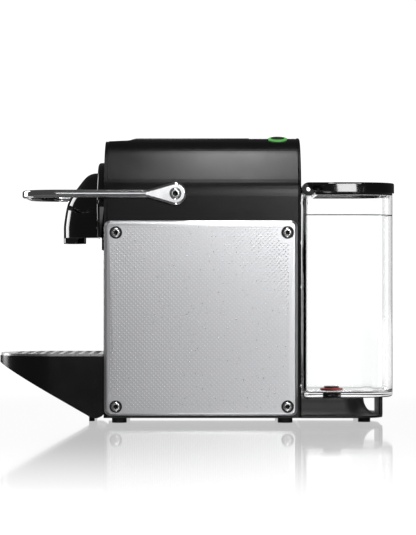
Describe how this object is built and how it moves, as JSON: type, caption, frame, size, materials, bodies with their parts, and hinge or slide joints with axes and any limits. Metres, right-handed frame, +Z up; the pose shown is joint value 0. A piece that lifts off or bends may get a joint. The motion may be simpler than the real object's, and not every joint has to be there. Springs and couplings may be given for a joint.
{
  "type": "pod coffee machine",
  "caption": "Narrow pod coffee machine with an arched black body, embossed metal side panels, lifting chrome lever, sliding brew head, fold-up drip tray and clear lift-off water tank.",
  "frame": {"origin": "centre of the footprint box, on the surface that the machine stands on", "axes": "+Z up, -Y towards the front where the cup stands, +X to the machine's right side"},
  "size_m": [0.111, 0.326, 0.235],
  "materials": {
    "satin_black": "satin gloss moulded plastic",
    "gloss_black": "high gloss moulded plastic",
    "tray_black": "satin moulded plastic",
    "panel_aluminium": "embossed with small staggered dots, satin silver",
    "bolt_steel": "bright steel",
    "lever_chrome": "polished chrome",
    "grid_steel": "brushed stainless steel",
    "hub_steel": "turned steel",
    "bush_bronze": "sintered bronze",
    "clear_tank": "clear moulded plastic, slightly grey",
    "valve_red": "red silicone seal",
    "valve_black": "satin black plastic",
    "foot_rubber": "matt rubber",
    "light_green": "translucent light guide, lit green",
    "inner_plastic": "glass filled plastic",
    "heater_aluminium": "die cast",
    "pump_black": "moulded coil housing",
    "hose_silicone": "translucent silicone",
    "board_green": "solder mask"
  },
  "bodies": {
    "root": {"base_frame": "satin_black", "upper_housing": "satin_black", "front_frame": "satin_black", "rear_cover": "satin_black", "control_cover": "satin_black", "button_light_rings": "light_green", "keypad_board": "board_green", "side_panel_right": "panel_aluminium", "side_panel_left": "panel_aluminium", "panel_bolts_right": "bolt_steel", "panel_bolts_left": "bolt_steel", "cover_screws": "bolt_steel", "rubber_feet": "foot_rubber", "lever_bushes": "bush_bronze", "capsule_cage": "inner_plastic", "brew_frame": "inner_plastic", "thermoblock": "heater_aluminium", "thermostat": "heater_aluminium", "pump": "pump_black", "pump_mounts": "foot_rubber", "flow_meter": "inner_plastic", "inlet_hose": "hose_silicone", "pump_hose": "hose_silicone", "pressure_hose": "hose_silicone", "control_board": "board_green", "tank_base": "satin_black", "cord_guard": "satin_black", "cord_gland": "foot_rubber", "tank_seat": "inner_plastic", "seat_seal": "foot_rubber"},
    "lever": {"lever": "lever_chrome", "pivot_hubs": "hub_steel", "cam_plates": "hub_steel", "lever_screws": "bolt_steel"},
    "head": {"head_plate": "gloss_black", "outlet_housing": "gloss_black", "spout": "gloss_black", "coffee_duct": "inner_plastic", "head_carriage": "inner_plastic", "cam_rollers": "hub_steel", "piercing_plate": "grid_steel", "capsule_slide": "tray_black"},
    "espresso_button": {"espresso_button": "gloss_black"},
    "lungo_button": {"lungo_button": "gloss_black"},
    "tank": {"water_tank": "clear_tank", "tank_valve": "valve_red", "valve_cap": "valve_black", "lid_pins": "bolt_steel"},
    "tank_lid": {"tank_lid": "gloss_black"},
    "drawer": {"drip_base": "tray_black", "capsule_container": "tray_black", "tray_hinge_pins": "bolt_steel", "tray_feet": "foot_rubber"},
    "drip_tray": {"drip_tray": "tray_black", "drip_grid": "grid_steel"}
  },
  "joints": [
    {"name": "lever_lift", "type": "hinge", "parent": "root", "child": "lever", "pos_m": [0, -0.0167, 0.186], "axis": [-1, 0, 0], "range_deg": [0, 95]},
    {"name": "head_slide", "type": "slide", "parent": "root", "child": "head", "axis": [0, -1, 0], "range_m": [0, 0.028]},
    {"name": "espresso_press", "type": "slide", "parent": "root", "child": "espresso_button", "axis": [0.23, 0, -0.9732], "range_m": [0, 0.0012], "stiffness_N_per_m": 400, "springref_m": -0.001},
    {"name": "lungo_press", "type": "slide", "parent": "root", "child": "lungo_button", "axis": [-0.23, 0, -0.9732], "range_m": [0, 0.0012], "stiffness_N_per_m": 400, "springref_m": -0.001},
    {"name": "tank_lift", "type": "slide", "parent": "root", "child": "tank", "axis": [0, 0, 1], "range_m": [0, 0.06]},
    {"name": "lid_open", "type": "hinge", "parent": "tank", "child": "tank_lid", "pos_m": [0, 0.0915, 0.19], "axis": [1, 0, 0], "range_deg": [0, 85]},
    {"name": "drawer_slide", "type": "slide", "parent": "root", "child": "drawer", "axis": [0, -1, 0], "range_m": [0, 0.1]},
    {"name": "tray_fold", "type": "hinge", "parent": "drawer", "child": "drip_tray", "pos_m": [0, -0.082, 0.0125], "axis": [-1, 0, 0], "range_deg": [0, 57]}
  ],
  "couplings": [
    {"joint": "head_slide", "follows": "lever_lift", "m_per_rad": 0.016887}
  ]
}
